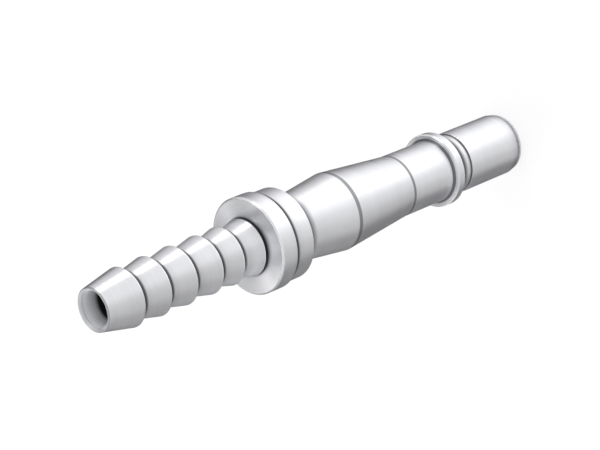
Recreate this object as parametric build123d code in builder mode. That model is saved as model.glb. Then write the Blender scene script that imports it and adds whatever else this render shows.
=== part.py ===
from build123d import *
import os
from math import radians, tan

os.makedirs("parts", exist_ok=True)

# Hose barb adapter, turned from one bar of steel.
# The axis is Z. The plug end stands on z = 0 and the hose tail points up.
# All sizes are in millimetres.

# Plug nose, the plain end that the seal of a coupling socket closes on
plug_d = 10.0
nose_length = 12.5
lead_in_length = 1.2
lead_in_depth = 0.25

# Shallow relief behind the nose, then the thin locking flange and the plain stem
relief_depth = 0.2
relief_width = 2.9
flange_height = 1.0
flange_width = 1.6
flange_edge = 0.2
stem_length = 9.2

# Body that swells from the stem to a shoulder and draws in again at the collar
shoulder_d = 12.5
stem_taper_length = 13.6
waist_d = 9.9
waist_taper_length = 10.9

# Stepped collar that the hose is pushed up against
collar_d = 15.0
collar_width = 3.2
collar_step = 0.4
collar_step_width = 3.8
collar_edge = 0.25

# Hose tail, sized on the bore of the hose that it holds
hose_bore_d = 8.0
crest_grip = 0.5
root_clearance = 0.5
barb_back = 0.5
barb_pitch = 4.95
wide_gap_count = 3
close_barb_pitch = 4.2
close_gap_count = 2
lead_cone_length = 5.75
crest_radius = 0.2

# Thin end of the tail, whose mouth and outer edge leave only a narrow land
tip_mouth_chamfer = 0.3
tip_land = 0.1
tip_edge = 0.1

# Stepped bore, drilled from both ends, set by the walls that it leaves
tail_wall = 0.7
plug_wall = 1.4
plug_bore_depth = 30.0
plug_mouth_chamfer = 0.35
drill_point_angle = 118.0

# Radii that follow from those sizes
plug_r = plug_d / 2
nose_end_r = plug_r - lead_in_depth
relief_r = plug_r - relief_depth
flange_r = plug_r + flange_height
shoulder_r = shoulder_d / 2
waist_r = waist_d / 2
collar_r = collar_d / 2
collar_step_r = collar_r - collar_step
crest_r = hose_bore_d / 2 + crest_grip
root_r = hose_bore_d / 2 - root_clearance
tail_bore_r = root_r - tail_wall
tip_r = tail_bore_r + tip_mouth_chamfer + tip_land + tip_edge
plug_bore_r = plug_r - plug_wall

# Heights above the plug end, each one stacked on the last
flange_back_z = nose_length + relief_width
flange_front_z = flange_back_z + flange_width
stem_end_z = flange_front_z + stem_length
shoulder_z = stem_end_z + stem_taper_length
collar_back_z = shoulder_z + waist_taper_length
collar_step_z = collar_back_z + collar_step_width
collar_front_z = collar_step_z + collar_width

# Crest heights, from the barb at the collar to the one at the tip
crest_heights = [collar_front_z + barb_back]
for pitch in [close_barb_pitch] * close_gap_count + [barb_pitch] * wide_gap_count:
    crest_heights.append(crest_heights[-1] + pitch)
tip_z = crest_heights[-1] + lead_cone_length

# Outlines of the four sections, each running up the part as (radius, height)
plug_outline = [
    (nose_end_r, 0),
    (plug_r, lead_in_length),
    (plug_r, nose_length),
    (relief_r, nose_length),
    (relief_r, flange_back_z),
    (flange_r, flange_back_z),
    (flange_r, flange_front_z),
    (plug_r, flange_front_z),
    (plug_r, stem_end_z),
]
body_outline = [
    (shoulder_r, shoulder_z),
    (waist_r, collar_back_z),
]
collar_outline = [
    (collar_step_r, collar_back_z),
    (collar_step_r, collar_step_z),
    (collar_r, collar_step_z),
    (collar_r, collar_front_z),
]

# Each barb climbs steeply on the collar side, and its cone falls away towards the tip
crests = [(crest_r, height) for height in crest_heights]
roots = [(root_r, height - barb_back) for height in crest_heights]
tip = (tip_r, tip_z)
tail_outline = [point for barb in zip(roots, crests) for point in barb] + [tip]


def corners_at(*points):
    """The corners of the profile in work that lie at the given points."""
    return [vertices().sort_by_distance(point)[0] for point in points]


with BuildPart() as adapter_body:
    # Outside form, as one turned profile
    with BuildSketch(Plane.XZ):
        with BuildLine():
            outline = plug_outline + body_outline + collar_outline + tail_outline
            Polyline((0, 0), *outline, (0, tip_z), close=True)
        make_face()
        chamfer(corners_at((flange_r, flange_back_z), (flange_r, flange_front_z)), flange_edge)
        chamfer(corners_at(collar_outline[0], collar_outline[2], collar_outline[3]), collar_edge)
        fillet(corners_at(*crests), crest_radius)
        chamfer(corners_at(tip), tip_edge)
    revolve(axis=Axis.Z)

    # Bore of the hose tail, drilled right through from the tip
    with Locations((0, 0, tip_z)):
        Hole(tail_bore_r)

    # Wider bore of the plug end, which closes with the cone that the drill leaves
    drill_point_length = plug_bore_r / tan(radians(drill_point_angle / 2))
    with BuildSketch(Plane.XZ):
        with BuildLine():
            Polyline(
                (0, 0),
                (plug_bore_r, 0),
                (plug_bore_r, plug_bore_depth),
                (0, plug_bore_depth + drill_point_length),
                close=True,
            )
        make_face()
    revolve(axis=Axis.Z, mode=Mode.SUBTRACT)

    # Broken edges at the two mouths, the smallest circle on each end face
    end_circles = edges().filter_by(GeomType.CIRCLE).group_by(Axis.Z)
    chamfer(end_circles[-1].sort_by(SortBy.RADIUS)[0], tip_mouth_chamfer)
    chamfer(end_circles[0].sort_by(SortBy.RADIUS)[0], plug_mouth_chamfer)

adapter_body.part.label = "adapter_body"
export_step(adapter_body.part, "parts/adapter_body.step")
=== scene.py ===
from itertools import accumulate
from math import atan2, ceil, cos, pi, radians, sin, tan
from types import SimpleNamespace

import bpy
from mathutils import Matrix, Vector


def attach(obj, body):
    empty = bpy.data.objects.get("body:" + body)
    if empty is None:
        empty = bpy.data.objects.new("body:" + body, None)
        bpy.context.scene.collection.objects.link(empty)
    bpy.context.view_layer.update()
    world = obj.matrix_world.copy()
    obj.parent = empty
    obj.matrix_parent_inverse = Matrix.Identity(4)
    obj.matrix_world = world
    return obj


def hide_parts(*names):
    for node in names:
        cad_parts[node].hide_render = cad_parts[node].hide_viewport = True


# Hose barb adapter, turned from one bar of bright steel.
# It stands on its plug end with the axis on Z, and the hose tail points up.

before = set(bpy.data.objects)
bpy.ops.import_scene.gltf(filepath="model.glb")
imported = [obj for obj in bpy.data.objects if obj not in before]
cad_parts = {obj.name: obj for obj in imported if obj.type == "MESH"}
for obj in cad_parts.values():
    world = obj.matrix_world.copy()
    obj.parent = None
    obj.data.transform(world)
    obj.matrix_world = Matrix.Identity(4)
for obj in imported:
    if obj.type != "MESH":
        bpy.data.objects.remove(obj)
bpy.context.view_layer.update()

MM = 0.001

# The photograph's frame in pixels, and the lens that fits its perspective
PHOTO_WIDTH = 600
PHOTO_HEIGHT = 450
FOCAL_PIXELS = 2083.3
SENSOR_WIDTH = 36.0

# How near and how far the camera sees, in metres
NEAREST_SEEN = 0.01
FARTHEST_SEEN = 10.0

# How the adapter lies in the photograph: its slope, its angle to the line of sight, and its last crest
AXIS_RISE = radians(22.39)
AXIS_TO_SIGHT = radians(49.2)
CREST_PIXEL = (124.5, 297.2)
CREST_PIXELS_PER_METRE = 7204.0

# Radii of the turned form, in millimetres
NOSE_END_R = 4.75
PLUG_R = 5.0
RELIEF_R = 4.8
FLANGE_R = 6.0
SHOULDER_R = 6.25
WAIST_R = 4.95
COLLAR_STEP_R = 7.1
COLLAR_R = 7.5
CREST_R = 4.5
ROOT_R = 3.5
TIP_R = 3.3
TAIL_BORE_R = 2.8
PLUG_BORE_R = 3.6

# Heights above the plug end, in millimetres
LEAD_IN_Z = 1.2
NOSE_Z = 12.5
FLANGE_BACK_Z = 15.4
FLANGE_FRONT_Z = 17.0
STEM_END_Z = 26.2
SHOULDER_Z = 39.8
COLLAR_BACK_Z = 50.7
COLLAR_STEP_Z = 54.5
COLLAR_FRONT_Z = 57.7

# The hose tail, in millimetres: a barb's steep back, and how far apart the crests stand, from the collar on
BARB_BACK = 0.5
BARB_PITCHES = (4.2, 4.2, 4.95, 4.95, 4.95)
LEAD_CONE_LENGTH = 5.75
CREST_Z = tuple(accumulate(BARB_PITCHES, initial=COLLAR_FRONT_Z + BARB_BACK))
TIP_Z = CREST_Z[-1] + LEAD_CONE_LENGTH

# The depth of the plug's bore in millimetres, and the cone that the drill leaves at its end
PLUG_BORE_Z = 30.0
DRILL_POINT_HALF_ANGLE = radians(59.0)

# Broken edges of the form, in millimetres
PLUG_MOUTH_CHAMFER = 0.35
FLANGE_EDGE = 0.2
COLLAR_EDGE = 0.25
CREST_RADIUS = 0.2
TIP_EDGE = 0.1
TIP_MOUTH_CHAMFER = 0.3

# Radii that the lathe tool leaves, in millimetres: on edges, in grooves and seats, where tapers meet
SOFT_EDGE = 0.05
TIP_SOFT_EDGE = 0.025
GROOVE_FILLET = 0.12
SEAT_FILLET = 0.2
BLEND_RADIUS = 1.2

# An outer corner that turns by this much or more is worn fully bright
WORN_TURN = radians(45)

# Painted shade at a corner, which darkens the profile's creases, grooves and a few edges, as (darkness,
# reach in millimetres, share of the reach over which it fades, haze)
# The haze is a faint painted shade that starts at the corner and reaches farther than the rest
UNSHADED = (0.0, 0.1, 0.45, 0.0)
STEP_SHADE = (0.85, 0.35, 0.45, 0.3)
RELIEF_SHADE = (0.95, 1.55, 0.2, 0.0)
SEAT_SHADE = (0.85, 0.16, 0.45, 0.2)
# A thin dark line painted where the tapers of the body meet
BLEND_DARK_LINE = (0.7, 0.28, 0.45, 0.0)
WAIST_SHADE = (0.9, 2.35, 0.45, 0.1)
GROOVE_SHADE = (1.0, 0.72, 0.45, 0.3)
# A dark ring painted on the thin edges of the tip
TIP_DARK_EDGE = (0.55, 0.12, 0.45, 0.0)
MOUTH_SHADE = (0.2, 0.3, 0.45, 0.0)
# How many times farther than the rest the painted haze of shade reaches
SHADE_HAZE_REACH = 3

# Mesh density: angles, and lengths along the profile in millimetres
SEGMENTS = 120
ARC_STEP = radians(12)
CORNER_STATIONS = (0.12, 0.28, 0.44, 0.6, 0.8)
LONGEST_RUN = 1.2

# Colours of the steel
STEEL_COLOUR = (0.74, 0.743, 0.765)
STEEL_EDGE_TINT = (0.42, 0.42, 0.45, 1)
WORN_COLOUR = (0.86, 0.862, 0.88, 1)
# The bore's colour at its mouth, where its painted light is brightest
BORE_LIT_COLOUR = (0.97, 0.975, 1.0)
# The colour of the painted shade in corners and grooves
PAINTED_SHADE_COLOUR = (0.06, 0.06, 0.065, 1)
WORN_SHARE = 0.45
# The largest share of the steel that the painted shade covers
PAINTED_SHADE_SHARE = 0.92

# Marks of turning, wider bands and smudges of handling, each as (scale per millimetre, detail, roughness)
RINGS = (4.5, 3.0, 0.6)
BANDS = (0.7, 2.0, 0.5)
SMUDGES = (0.12, 5.0, 0.62)

# The steel's tone where nothing marks it, and what each of them adds at most
BASE_TONE = 0.83
RING_TONE = 0.16
BAND_TONE = 0.10
SMUDGE_TONE = 0.08

# Its roughness, in the same way
BASE_ROUGHNESS = 0.15
RING_ROUGHNESS = 0.20
SMUDGE_ROUGHNESS = 0.16
WORN_ROUGHNESS = -0.08
# Duller where corners carry painted shade
SHADED_CORNER_ROUGHNESS = 0.15
BORE_ROUGHNESS = 0.5

# The grain that turning leaves, and how deep the rings are, in metres
GRAIN = 0.85
GRAIN_TURN = 0.25
RING_DEPTH = 0.000018
RING_STRENGTH = 0.6
BORE_RING_GAIN = 1.5

# What lies nearer to the axis than these is bore, as (height, radius), below and above the drill point
PLUG_BORE_LIMIT = (PLUG_BORE_Z - 1.0, PLUG_BORE_R + 0.15)
TAIL_BORE_LIMIT = (PLUG_BORE_Z + 1.0, TAIL_BORE_R + 0.25)

# Painted light and shade on the bore's wall, as (depth, brightness): bright at its mouth, dimming slowly
# inwards, and painted dark farther in where shade falls
BORE_PAINTED_LIGHT = ((0.8, 1.0), (4.0, 0.5))
BORE_PAINTED_SHADE = ((2.4, 0.96), (3.3, 0.02))

# The mix node's sockets for the share and the colours, by number because their names repeat
MIX_SHARE = 0
MIX_FIRST = 6
MIX_SECOND = 7
MIX_RESULT = 2

# Floor and background
WHITE = (1, 1, 1, 1)
FLOOR_COLOUR = (0.95, 0.95, 0.95, 1)
FLOOR_REACH = 3.0
FLOOR_WHITE_SHARE = 0.7

# Screens round the part, as (direction in degrees from X in which the metal throws its rays,
# shade on the floor, shade in the raised band, which has a gap where it is None)
SCREEN_STOPS = (
    (-270, 0.05, 0.10),
    (-250, 0.07, 0.16),
    (-240, 0.16, 0.36),
    (-230, 0.37, 0.40),
    (-218, 0.38, 0.40),
    (-206, 0.31, 0.38),
    (-186, 0.28, 0.38),
    (-178, 0.34, 0.40),
    (-170, 0.50, 0.44),
    (-162, 0.64, 0.48),
    (-154, 0.71, 0.53),
    (-138, 0.76, 0.60),
    (-122, 0.95, 0.63),
    (-106, 1.03, 0.74),
    (-90, 1.20, 0.92),
    (-78, 1.42, None),
    (-66, 1.60, None),
    (-30, 1.60, None),
    (-18, 1.42, None),
    (-6, 1.15, 1.00),
    (6, 1.00, 1.00),
    (20, 0.88, 0.95),
    (32, 0.66, 0.85),
    (42, 0.40, 0.60),
    (52, 0.14, 0.30),
    (64, 0.06, 0.15),
    (90, 0.05, 0.10),
)

# Directions in degrees from X, of the photograph's camera and of the gap in the raised band
FACING_PHOTO = -90
BAND_GAP = -48

# Rings of the floor's screen, as (radius in metres, exponent that strengthens the shades there)
SCREEN_RINGS = (
    (0.0066, 1.0),
    (0.025, 1.0),
    (0.06, 1.4),
    (0.1, 1.6),
    (0.13, 0.0),
)

# Its dark inner edge, and how high it lies over the floor, in metres
SCREEN_FOOT_R = 0.005
SCREEN_FOOT_SHADE = 0.05
SCREEN_LIFT = 0.0003

# The raised bands, and how far from the axis the rays leave the metal, in metres
BAND_R = 0.06
BAND_HEIGHTS = (0.046, 0.084)
METAL_OFFSET = 0.0023

# The screen behind the part and above it, with its outline as (x, z) in metres
ABOVE_OUTLINE = (
    (0.004, 0.090),
    (0.120, 0.090),
    (0.120, 0.220),
    (-0.060, 0.220),
    (-0.060, 0.150),
    (0.004, 0.142),
)
ABOVE_Y = 0.085
ABOVE_SHADE = 0.5

# The card overhead, in metres, and how many times brighter second reflections see it than first ones
OVERHEAD_X = (-0.24, 0.04)
OVERHEAD_Y = (-0.20, 0.20)
OVERHEAD_Z = 0.30
OVERHEAD_GAIN = 2.4

# The ray depth is 1 in a first reflection and 2 in a second one, and this lies between them
AFTER_FIRST = 1.5

# Soft boxes, as (name, azimuth and elevation in degrees, width and height in metres, watts)
LAMPS = (
    ("key", -14, 9, 0.2, 0.12, 0.6),
    ("back", 90, 8, 0.4, 0.3, 0.8),
    ("side", 122, 42, 0.2, 0.15, 0.2),
)

# How far they stand from the place that they face, and that place, in metres
LAMP_DISTANCE = 0.5
LAMP_TARGET = (0, 0, 0.045)


def in_scene(name, data):
    """A new object of the scene, made from its mesh, camera or lamp data."""
    made = bpy.data.objects.new(name, data)
    bpy.context.scene.collection.objects.link(made)
    return made


def new_mesh(name, verts, faces):
    """A mesh of the given faces."""
    mesh = bpy.data.meshes.new(name)
    mesh.from_pydata(verts, [], faces)
    return mesh


def look_from_photo():
    """A camera that sees the standing part as the photograph does, its plug end away and up to the right."""
    data = bpy.data.cameras.new("photo_camera")
    data.sensor_width = SENSOR_WIDTH
    data.lens = FOCAL_PIXELS * SENSOR_WIDTH / PHOTO_WIDTH
    data.clip_start = NEAREST_SEEN
    data.clip_end = FARTHEST_SEEN
    camera = in_scene("photo_camera", data)

    back = Vector((0, -sin(AXIS_TO_SIGHT), cos(AXIS_TO_SIGHT)))
    level_right = Vector((1, 0, 0))
    level_up = back.cross(level_right)
    right = -sin(AXIS_RISE) * level_right - cos(AXIS_RISE) * level_up
    up = back.cross(right)
    turn = Matrix((right, up, back)).transposed()

    depth = FOCAL_PIXELS / CREST_PIXELS_PER_METRE
    crest_seen = Vector((
        (CREST_PIXEL[0] - PHOTO_WIDTH / 2) / CREST_PIXELS_PER_METRE,
        (PHOTO_HEIGHT / 2 - CREST_PIXEL[1]) / CREST_PIXELS_PER_METRE,
        -depth,
    ))
    place = Vector((0, 0, CREST_Z[-1] * MM)) - turn @ crest_seen
    camera.matrix_world = Matrix.Translation(place) @ turn.to_4x4()
    bpy.context.scene.camera = camera


# Each corner of the profile is (radius, height, rounding, painted shade)


def disc_corners(radius, back, front, edge):
    """A disc with both its edges broken."""
    rim = ((radius - edge, back), (radius, back + edge), (radius, front - edge), (radius - edge, front))
    return [(*spot, SOFT_EDGE, UNSHADED) for spot in rim]


def plug_corners():
    """The plug's end, nose and relief, the locking flange, and its seat on the stem."""
    return [
        (PLUG_BORE_R + PLUG_MOUTH_CHAMFER, 0, SOFT_EDGE, UNSHADED),
        (NOSE_END_R, 0, SOFT_EDGE, UNSHADED),
        (PLUG_R, LEAD_IN_Z, SOFT_EDGE, UNSHADED),
        (PLUG_R, NOSE_Z, SOFT_EDGE, UNSHADED),
        (RELIEF_R, NOSE_Z, SOFT_EDGE, STEP_SHADE),
        (RELIEF_R, FLANGE_BACK_Z, GROOVE_FILLET, RELIEF_SHADE),
        *disc_corners(FLANGE_R, FLANGE_BACK_Z, FLANGE_FRONT_Z, FLANGE_EDGE),
        (PLUG_R, FLANGE_FRONT_Z, SEAT_FILLET, SEAT_SHADE),
    ]


def body_corners():
    """The body, which swells from the stem to its shoulder and draws in at the collar."""
    return [
        (PLUG_R, STEM_END_Z, BLEND_RADIUS, BLEND_DARK_LINE),
        (SHOULDER_R, SHOULDER_Z, BLEND_RADIUS, BLEND_DARK_LINE),
        (WAIST_R, COLLAR_BACK_Z, SEAT_FILLET, WAIST_SHADE),
    ]


def collar_corners():
    """The stepped collar, from its narrow back disc to the face that stops the hose."""
    return [
        (COLLAR_STEP_R - COLLAR_EDGE, COLLAR_BACK_Z, SOFT_EDGE, UNSHADED),
        (COLLAR_STEP_R, COLLAR_BACK_Z + COLLAR_EDGE, SOFT_EDGE, UNSHADED),
        (COLLAR_STEP_R, COLLAR_STEP_Z, SOFT_EDGE, GROOVE_SHADE),
        *disc_corners(COLLAR_R, COLLAR_STEP_Z, COLLAR_FRONT_Z, COLLAR_EDGE),
    ]


def tail_corners():
    """The six barbs with their rounded crests, and the lead cone with the thin land of the tip."""
    corners = []
    for height in CREST_Z:
        corners.append((ROOT_R, height - BARB_BACK, GROOVE_FILLET, GROOVE_SHADE))
        corners.append((CREST_R, height, CREST_RADIUS, UNSHADED))
    lead_slope = (CREST_R - TIP_R) / (TIP_Z - CREST_Z[-1])
    corners.append((TIP_R + lead_slope * TIP_EDGE, TIP_Z - TIP_EDGE, TIP_SOFT_EDGE, TIP_DARK_EDGE))
    corners.append((TIP_R - TIP_EDGE, TIP_Z, TIP_SOFT_EDGE, TIP_DARK_EDGE))
    return corners


def bore_corners():
    """The stepped bore, from the tip's mouth down past the drill point to the plug's mouth."""
    drill_point = (PLUG_BORE_R - TAIL_BORE_R) / tan(DRILL_POINT_HALF_ANGLE)
    return [
        (TAIL_BORE_R + TIP_MOUTH_CHAMFER, TIP_Z, TIP_SOFT_EDGE, MOUTH_SHADE),
        (TAIL_BORE_R, TIP_Z - TIP_MOUTH_CHAMFER, SOFT_EDGE, MOUTH_SHADE),
        (TAIL_BORE_R, PLUG_BORE_Z + drill_point, SOFT_EDGE, UNSHADED),
        (PLUG_BORE_R, PLUG_BORE_Z, GROOVE_FILLET, UNSHADED),
        (PLUG_BORE_R, PLUG_MOUTH_CHAMFER, SOFT_EDGE, UNSHADED),
    ]


def corner_stations(painted_shade, length):
    """Distances from a corner at which a run gets points, with those between which its painted shade fades.
    """
    darkness, reach, softness, _ = painted_shade
    fade = (reach * (1 - softness), reach) if darkness else ()
    return sorted(distance for distance in CORNER_STATIONS + fade if distance < length / 2)


def run_stations(painted_shade, next_painted_shade, length):
    """Distances along a straight run at which the profile gets points, closer together near its ends."""
    before = corner_stations(painted_shade, length)
    after = [length - distance for distance in reversed(corner_stations(next_painted_shade, length))]
    first = before[-1] if before else 0
    middle = (after[0] if after else length) - first
    parts = max(1, ceil(middle / LONGEST_RUN))
    inner = [first + middle * part / parts for part in range(1, parts)]
    return before + inner + after


def faded(painted_shade, distance):
    """How dark a corner's painted shade and its haze of painted shade still are at a distance along the
    surface.
    """
    darkness, reach, softness, haze = painted_shade
    haze_shade = haze * max(0, 1 - distance / (SHADE_HAZE_REACH * reach)) ** 2
    return max(haze_shade, darkness * min(1, max(0, 1 - distance / reach) / softness))


def corner_arc(before, spot, after, rounding):
    """The points of a rounded corner as (place, normal), and the angle by which the profile turns there."""
    arriving = (spot - before).normalized()
    leaving = (after - spot).normalized()
    turn = atan2(arriving.x * leaving.y - arriving.y * leaving.x, arriving.dot(leaving))
    side = 1 if turn > 0 else -1
    outward = Vector((arriving.y, -arriving.x))
    start = spot - arriving * rounding * tan(abs(turn) / 2)
    centre = start - outward * rounding * side
    steps = max(2, ceil(abs(turn) / ARC_STEP))
    arc = []
    for step in range(steps + 1):
        swept = turn * step / steps
        normal = Vector((
            outward.x * cos(swept) - outward.y * sin(swept),
            outward.x * sin(swept) + outward.y * cos(swept),
        ))
        arc.append((centre + normal * rounding * side, normal))
    return arc, turn


def rounded_profile(corners):
    """Points of the closed profile as (place, normal, edge wear, painted shade), with places in metres."""
    count = len(corners)
    spots = [Vector((radius, height)) for radius, height, _, _ in corners]
    arcs = []
    for i, (_, _, rounding, painted_shade) in enumerate(corners):
        arc, turn = corner_arc(spots[i - 1], spots[i], spots[(i + 1) % count], rounding)
        worn = min(1, turn / WORN_TURN) if turn > 0 else 0
        arcs.append((arc, worn, painted_shade))

    points = []
    for i, (arc, worn, painted_shade) in enumerate(arcs):
        for spot, normal in arc:
            points.append((spot * MM, normal, worn, painted_shade[0]))
        last, normal = arc[-1]
        next_arc, _, next_painted_shade = arcs[(i + 1) % count]
        run = next_arc[0][0] - last
        for along in run_stations(painted_shade, next_painted_shade, run.length):
            # Painted shade fading along the run from the corners at both its ends
            dark = max(faded(painted_shade, along), faded(next_painted_shade, run.length - along))
            points.append(((last + run.normalized() * along) * MM, normal, 0, dark))
    return points


def turned_piece(name, corners):
    """A piece turned about Z from its rounded profile, whose mesh also keeps its edge wear and painted
    shade.
    """
    profile = rounded_profile(corners)
    rows = len(profile)
    verts = []
    normals = []
    faces = []
    for segment in range(SEGMENTS):
        angle = 2 * pi * segment / SEGMENTS
        for spot, normal, _, _ in profile:
            verts.append((spot.x * cos(angle), spot.x * sin(angle), spot.y))
            normals.append((normal.x * cos(angle), normal.x * sin(angle), normal.y))
        here = segment * rows
        there = (segment + 1) % SEGMENTS * rows
        for row in range(rows):
            above = (row + 1) % rows
            faces.append((here + row, there + row, there + above, here + above))
    mesh = new_mesh(name, verts, faces)
    mesh.shade_smooth()
    mesh.normals_split_custom_set_from_vertices(normals)
    # Each point keeps its edge wear and its painted shade
    for kind, column in (("worn_edge", 2), ("painted_shade", 3)):
        layer = mesh.attributes.new(kind, "FLOAT", "POINT")
        layer.data.foreach_set("value", [point[column] for point in profile] * SEGMENTS)
    return in_scene(name, mesh)


def hose_barb_adapter():
    """The whole adapter, its profile running up the outside and back down the bore."""
    outside = plug_corners() + body_corners() + collar_corners() + tail_corners()
    return turned_piece("turned_adapter", outside + bore_corners())


def new_material(name):
    """An empty node material."""
    made = bpy.data.materials.new(name)
    made.use_nodes = True
    made.node_tree.nodes.clear()
    return made


def node(tree, kind, inputs=(), **settings):
    """Adds a node. Each input is (name or index, value or socket)."""
    made = tree.nodes.new(kind)
    for key, value in settings.items():
        setattr(made, key, value)
    for key, value in inputs:
        if isinstance(value, bpy.types.NodeSocket):
            tree.links.new(value, made.inputs[key])
        else:
            made.inputs[key].default_value = value
    return made


def number(tree, operation, *inputs, **settings):
    """The result of a calculation with two or three numbers."""
    return node(tree, "ShaderNodeMath", enumerate(inputs), operation=operation, **settings).outputs[0]


def weighted_sum(tree, start, *terms):
    """A number to which terms are added, each given as (number, weight)."""
    total = start
    for value, weight in terms:
        total = number(tree, "MULTIPLY_ADD", value, weight, total)
    return total


def ramp(tree, value, start, end):
    """A result that follows a value from start to end, both given as (value, result), and holds there."""
    return node(tree, "ShaderNodeMapRange", [
        ("Value", value),
        ("From Min", start[0]),
        ("From Max", end[0]),
        ("To Min", start[1]),
        ("To Max", end[1]),
    ]).outputs[0]


def scaled(tree, vector, factor):
    """A place or a colour times a number."""
    return node(tree, "ShaderNodeVectorMath", [(0, vector), ("Scale", factor)], operation="SCALE").outputs[0]


def mixed(tree, share, first, second):
    """A colour between two others, with the given share of the second."""
    inputs = [(MIX_SHARE, share), (MIX_FIRST, first), (MIX_SECOND, second)]
    return node(tree, "ShaderNodeMix", inputs, data_type="RGBA").outputs[MIX_RESULT]


def noise(tree, place, scale, detail, roughness):
    """Irregular marks, as a number from 0 to 1."""
    inputs = [("Vector", place), ("Scale", scale), ("Detail", detail), ("Roughness", roughness)]
    return node(tree, "ShaderNodeTexNoise", inputs).outputs["Fac"]


def kept_value(tree, name):
    """A number that the mesh keeps for each of its points."""
    return node(tree, "ShaderNodeAttribute", attribute_name=name).outputs["Fac"]


def steel_surface(tree):
    """What the looks of the turned steel depend on, worked out in millimetres."""
    place = scaled(tree, node(tree, "ShaderNodeTexCoord").outputs["Object"], 1 / MM)
    parts = node(tree, "ShaderNodeSeparateXYZ", [(0, place)]).outputs
    height = parts["Z"]
    flat = node(tree, "ShaderNodeCombineXYZ", [("X", parts["X"]), ("Y", parts["Y"])]).outputs[0]
    radius = node(tree, "ShaderNodeVectorMath", [(0, flat)], operation="LENGTH").outputs["Value"]
    on_profile = node(tree, "ShaderNodeCombineXYZ", [("X", radius), ("Z", height)]).outputs[0]
    bore_limit = ramp(tree, height, PLUG_BORE_LIMIT, TAIL_BORE_LIMIT)
    from_tip = number(tree, "SUBTRACT", TIP_Z, height)
    return SimpleNamespace(
        rings=noise(tree, on_profile, *RINGS),
        bands=noise(tree, on_profile, *BANDS),
        smudges=noise(tree, place, *SMUDGES),
        worn=kept_value(tree, "worn_edge"),
        # How much painted shade each point of the mesh carries
        painted_shade=kept_value(tree, "painted_shade"),
        bore=number(tree, "LESS_THAN", radius, bore_limit),
        depth=number(tree, "MINIMUM", height, from_tip),
    )


def steel_colour(tree, surface):
    """Grey with faint rings, bright on worn edges, with painted light in the bore that dims and then painted
    shade deep in it, and nearly black painted shade in corners and grooves.
    """
    tone = weighted_sum(
        tree,
        BASE_TONE,
        (surface.rings, RING_TONE),
        (surface.bands, BAND_TONE),
        (surface.smudges, SMUDGE_TONE),
    )
    wear = number(tree, "MULTIPLY", surface.worn, WORN_SHARE)
    colour = mixed(tree, wear, scaled(tree, STEEL_COLOUR, tone), WORN_COLOUR)
    # Painted light in the bore that dims with depth, then painted shade deep inside
    bore_light = ramp(tree, surface.depth, *BORE_PAINTED_LIGHT)
    bore_shade = ramp(tree, surface.depth, *BORE_PAINTED_SHADE)
    bore_painted_colour = scaled(tree, BORE_LIT_COLOUR, number(tree, "MINIMUM", bore_light, bore_shade))
    colour = mixed(tree, surface.bore, colour, bore_painted_colour)
    # Nearly black painted shade in the corners and grooves
    shade_cover = number(tree, "MULTIPLY", surface.painted_shade, PAINTED_SHADE_SHARE)
    return mixed(tree, shade_cover, colour, PAINTED_SHADE_COLOUR)


def steel_roughness(tree, surface):
    """Uneven with the rings and smudges, smoother on worn edges, duller under the painted shade of corners
    and in the bore.
    """
    return weighted_sum(
        tree,
        BASE_ROUGHNESS,
        (surface.rings, RING_ROUGHNESS),
        (surface.smudges, SMUDGE_ROUGHNESS),
        (surface.worn, WORN_ROUGHNESS),
        (surface.painted_shade, SHADED_CORNER_ROUGHNESS),
        (surface.bore, BORE_ROUGHNESS),
    )


def steel_relief(tree, surface):
    """Fine rings cut by the tool, deeper where the bore was drilled."""
    gain = number(tree, "MULTIPLY", surface.bore, BORE_RING_GAIN)
    height = number(tree, "MULTIPLY_ADD", surface.rings, gain, surface.rings)
    inputs = [("Strength", RING_STRENGTH), ("Distance", RING_DEPTH), ("Height", height)]
    return node(tree, "ShaderNodeBump", inputs).outputs[0]


def turned_steel():
    """Bright turned steel, with a grain that runs round the axis."""
    made = new_material("turned_steel")
    tree = made.node_tree
    surface = steel_surface(tree)
    steel = node(tree, "ShaderNodeBsdfPrincipled", [
        ("Base Color", steel_colour(tree, surface)),
        ("Metallic", 1.0),
        ("Roughness", steel_roughness(tree, surface)),
        ("Normal", steel_relief(tree, surface)),
        ("Specular Tint", STEEL_EDGE_TINT),
        ("Anisotropic", GRAIN),
        ("Anisotropic Rotation", GRAIN_TURN),
        ("Tangent", node(tree, "ShaderNodeTangent", direction_type="RADIAL", axis="Z").outputs[0]),
    ])
    node(tree, "ShaderNodeOutputMaterial", [("Surface", steel.outputs[0])])
    return made


def shown_white(tree, lit, white, share):
    """The lit shader, with a share of white mixed in where the camera and the metal see it."""
    path = node(tree, "ShaderNodeLightPath").outputs
    seen = number(tree, "ADD", path["Is Camera Ray"], path["Is Glossy Ray"])
    seen = number(tree, "ADD", seen, path["Is Transmission Ray"])
    part = number(tree, "MULTIPLY", seen, share, use_clamp=True)
    return node(tree, "ShaderNodeMixShader", [(0, part), (1, lit), (2, white)]).outputs[0]


def studio_floor():
    """A pale floor that looks white and keeps the part's shadow."""
    far = FLOOR_REACH
    corners = [(-far, -far, 0), (far, -far, 0), (far, far, 0), (-far, far, 0)]
    mesh = new_mesh("floor", corners, [(0, 1, 2, 3)])
    in_scene("floor", mesh)
    made = new_material("pale_floor")
    tree = made.node_tree
    lit = node(tree, "ShaderNodeBsdfDiffuse", [("Color", FLOOR_COLOUR)]).outputs[0]
    white = node(tree, "ShaderNodeEmission", [("Color", WHITE), ("Strength", 1.0)]).outputs[0]
    shown = shown_white(tree, lit, white, FLOOR_WHITE_SHARE)
    node(tree, "ShaderNodeOutputMaterial", [("Surface", shown)])
    mesh.materials.append(made)


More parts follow.
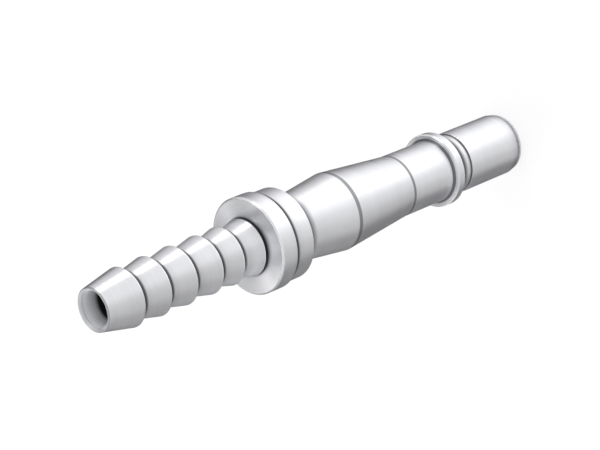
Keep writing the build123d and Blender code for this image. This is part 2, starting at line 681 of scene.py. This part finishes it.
def studio_world():
    """Plain white all round."""
    world = bpy.data.worlds.new("studio")
    bpy.context.scene.world = world
    world.use_nodes = True
    tree = world.node_tree
    tree.nodes.clear()
    white = node(tree, "ShaderNodeBackground", [("Color", WHITE), ("Strength", 1.0)]).outputs[0]
    node(tree, "ShaderNodeOutputWorld", [("Surface", white)])


def seen_again(tree, strength, gain):
    """A strength that is multiplied by the gain in second reflections and later ones."""
    depth = node(tree, "ShaderNodeLightPath").outputs["Ray Depth"]
    again = number(tree, "GREATER_THAN", depth, AFTER_FIRST)
    times = number(tree, "MULTIPLY_ADD", again, gain - 1, 1.0)
    return number(tree, "MULTIPLY", strength, times)


def screen(name, verts, faces, shades, second_gain=1):
    """A screen that only the metal sees, with a shade at each corner and a gain for second reflections."""
    mesh = new_mesh(name, verts, faces)
    mesh.attributes.new("shade", "FLOAT", "POINT").data.foreach_set("value", shades)
    made = in_scene(name, mesh)
    made.visible_camera = False
    made.visible_shadow = False
    made.visible_diffuse = False
    paint = new_material(name)
    tree = paint.node_tree
    strength = kept_value(tree, "shade")
    if second_gain != 1:
        strength = seen_again(tree, strength, second_gain)
    glow = node(tree, "ShaderNodeEmission", [("Color", WHITE), ("Strength", strength)])
    node(tree, "ShaderNodeOutputMaterial", [("Surface", glow.outputs[0])])
    mesh.materials.append(paint)


def around(direction, radius, height):
    """The place on a ring that is met by rays thrown in a direction, which leave the metal off the axis."""
    from_front = (direction - FACING_PHOTO) * (1 - METAL_OFFSET / radius)
    angle = radians(FACING_PHOTO + from_front)
    return radius * cos(angle), radius * sin(angle), height


def strips(rows, rings):
    """Faces between rows of points, each row having one point on each ring."""
    faces = []
    for row in range(rows - 1):
        for ring in range(rings - 1):
            here = row * rings + ring
            there = here + rings
            faces.append((here, there, there + 1, here + 1))
    return faces


def screen_on_the_floor():
    """A screen that draws the part's underside and edges dark, and fades to white at its rim."""
    verts = []
    shades = []
    for direction, shade, _ in SCREEN_STOPS:
        verts.append(around(direction, SCREEN_FOOT_R, SCREEN_LIFT))
        shades.append(shade * SCREEN_FOOT_SHADE)
        for radius, exponent in SCREEN_RINGS:
            verts.append(around(direction, radius, SCREEN_LIFT))
            shades.append(shade ** exponent)
    screen("screen_on_the_floor", verts, strips(len(SCREEN_STOPS), len(SCREEN_RINGS) + 1), shades)


def raised_bands():
    """Two bands that do the same for the cones, which throw their rays higher."""
    raised = [(direction, shade) for direction, _, shade in SCREEN_STOPS if shade is not None]
    right = [stop for stop in raised if stop[0] > BAND_GAP]
    left = [stop for stop in raised if stop[0] < BAND_GAP]
    for name, stops in (("screen_band_right", right), ("screen_band_left", left)):
        verts = [around(direction, BAND_R, height) for direction, _ in stops for height in BAND_HEIGHTS]
        shades = [shade for _, shade in stops for _ in BAND_HEIGHTS]
        screen(name, verts, strips(len(stops), len(BAND_HEIGHTS)), shades)


def screen_above():
    """A screen behind and above, which shades one side of the faces that look up."""
    verts = [(x, ABOVE_Y, z) for x, z in ABOVE_OUTLINE]
    screen("screen_above", verts, [tuple(range(len(verts)))], [ABOVE_SHADE] * len(verts))


def card_overhead():
    """A white card over the part, which lightens the hose tail where the face of the collar mirrors it."""
    left, right = OVERHEAD_X
    front, back = OVERHEAD_Y
    corners = ((left, front), (right, front), (right, back), (left, back))
    verts = [(x, y, OVERHEAD_Z) for x, y in corners]
    screen("card_overhead", verts, [(0, 1, 2, 3)], [1.0] * len(verts), OVERHEAD_GAIN)


def lamp(name, azimuth, elevation, width, height, power):
    """A soft box that faces the middle of the part."""
    data = bpy.data.lights.new(name, "AREA")
    data.shape = "RECTANGLE"
    data.size = width
    data.size_y = height
    data.energy = power
    round_axis = radians(azimuth)
    above_level = radians(elevation)
    away = Vector((
        cos(round_axis) * cos(above_level),
        sin(round_axis) * cos(above_level),
        sin(above_level),
    ))
    made = in_scene(name, data)
    made.location = Vector(LAMP_TARGET) + away * LAMP_DISTANCE
    made.rotation_euler = away.to_track_quat("Z", "Y").to_euler()
    made.visible_camera = False


look_from_photo()
studio_floor()
studio_world()
screen_on_the_floor()
raised_bands()
screen_above()
card_overhead()
for soft_box in LAMPS:
    lamp(*soft_box)

adapter = hose_barb_adapter()
adapter.data.materials.append(turned_steel())
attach(adapter, "root")
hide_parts("adapter_body")

bpy.context.scene.view_settings.view_transform = "Standard"
